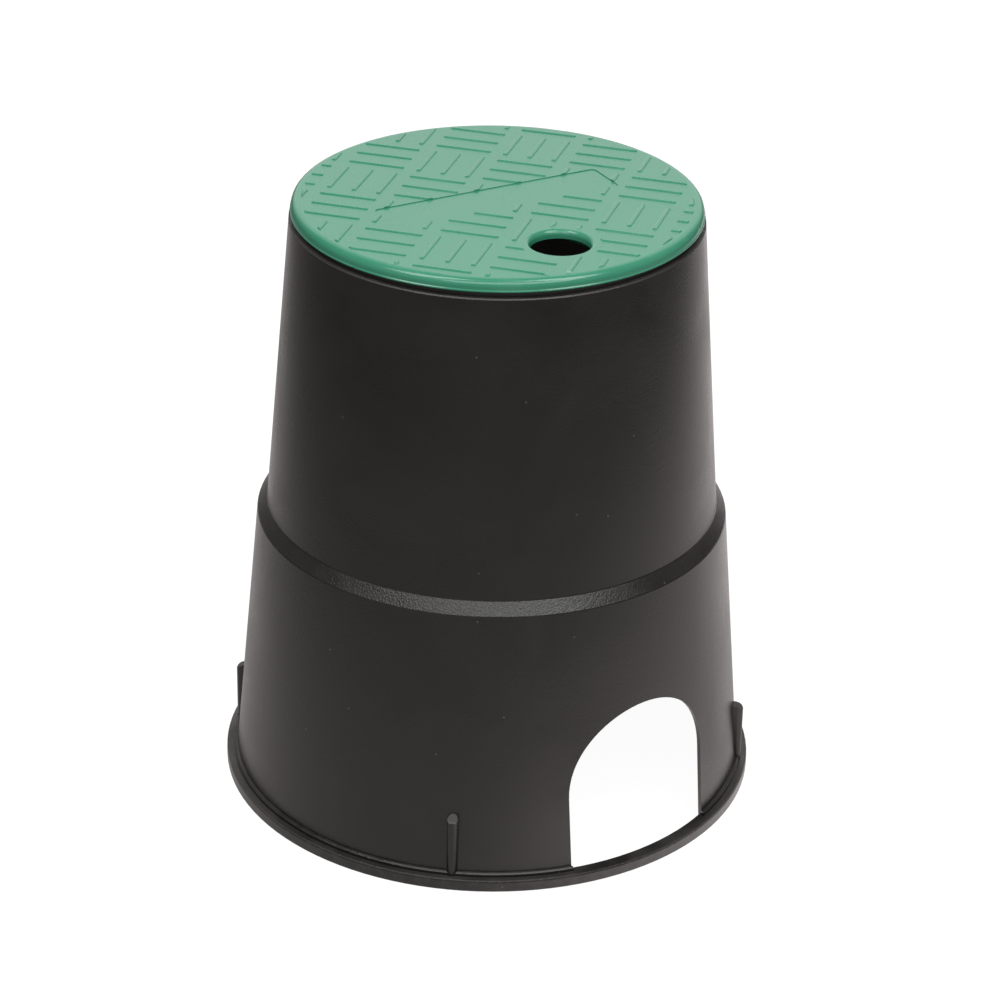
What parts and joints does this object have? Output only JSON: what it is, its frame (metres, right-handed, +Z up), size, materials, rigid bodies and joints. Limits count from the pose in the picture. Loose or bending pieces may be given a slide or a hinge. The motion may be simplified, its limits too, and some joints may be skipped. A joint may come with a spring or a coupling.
{
  "type": "irrigation valve box",
  "caption": "Round tapered ground box in black plastic with a foot flange, two pipe arches and a lift-off green lid with a woven tread and a finger hole.",
  "frame": {"origin": "centre of the foot flange's bounding circle, at ground level", "axes": "+Z up, the pipe run along Y with the front arch at -Y, X across"},
  "size_m": [0.21, 0.21, 0.24],
  "materials": {
    "black_plastic": "black polyethylene, fine matte grain, faint flow and scuff marks",
    "green_plastic": "green polyethylene, fine matte grain, smoother on the rim"
  },
  "bodies": {
    "body": {"body": "black_plastic"},
    "lid": {"lid": "green_plastic"}
  },
  "joints": [
    {"name": "lid_lift", "type": "slide", "parent": "body", "child": "lid", "axis": [0, 0, 1], "range_m": [0, 0.06]}
  ]
}
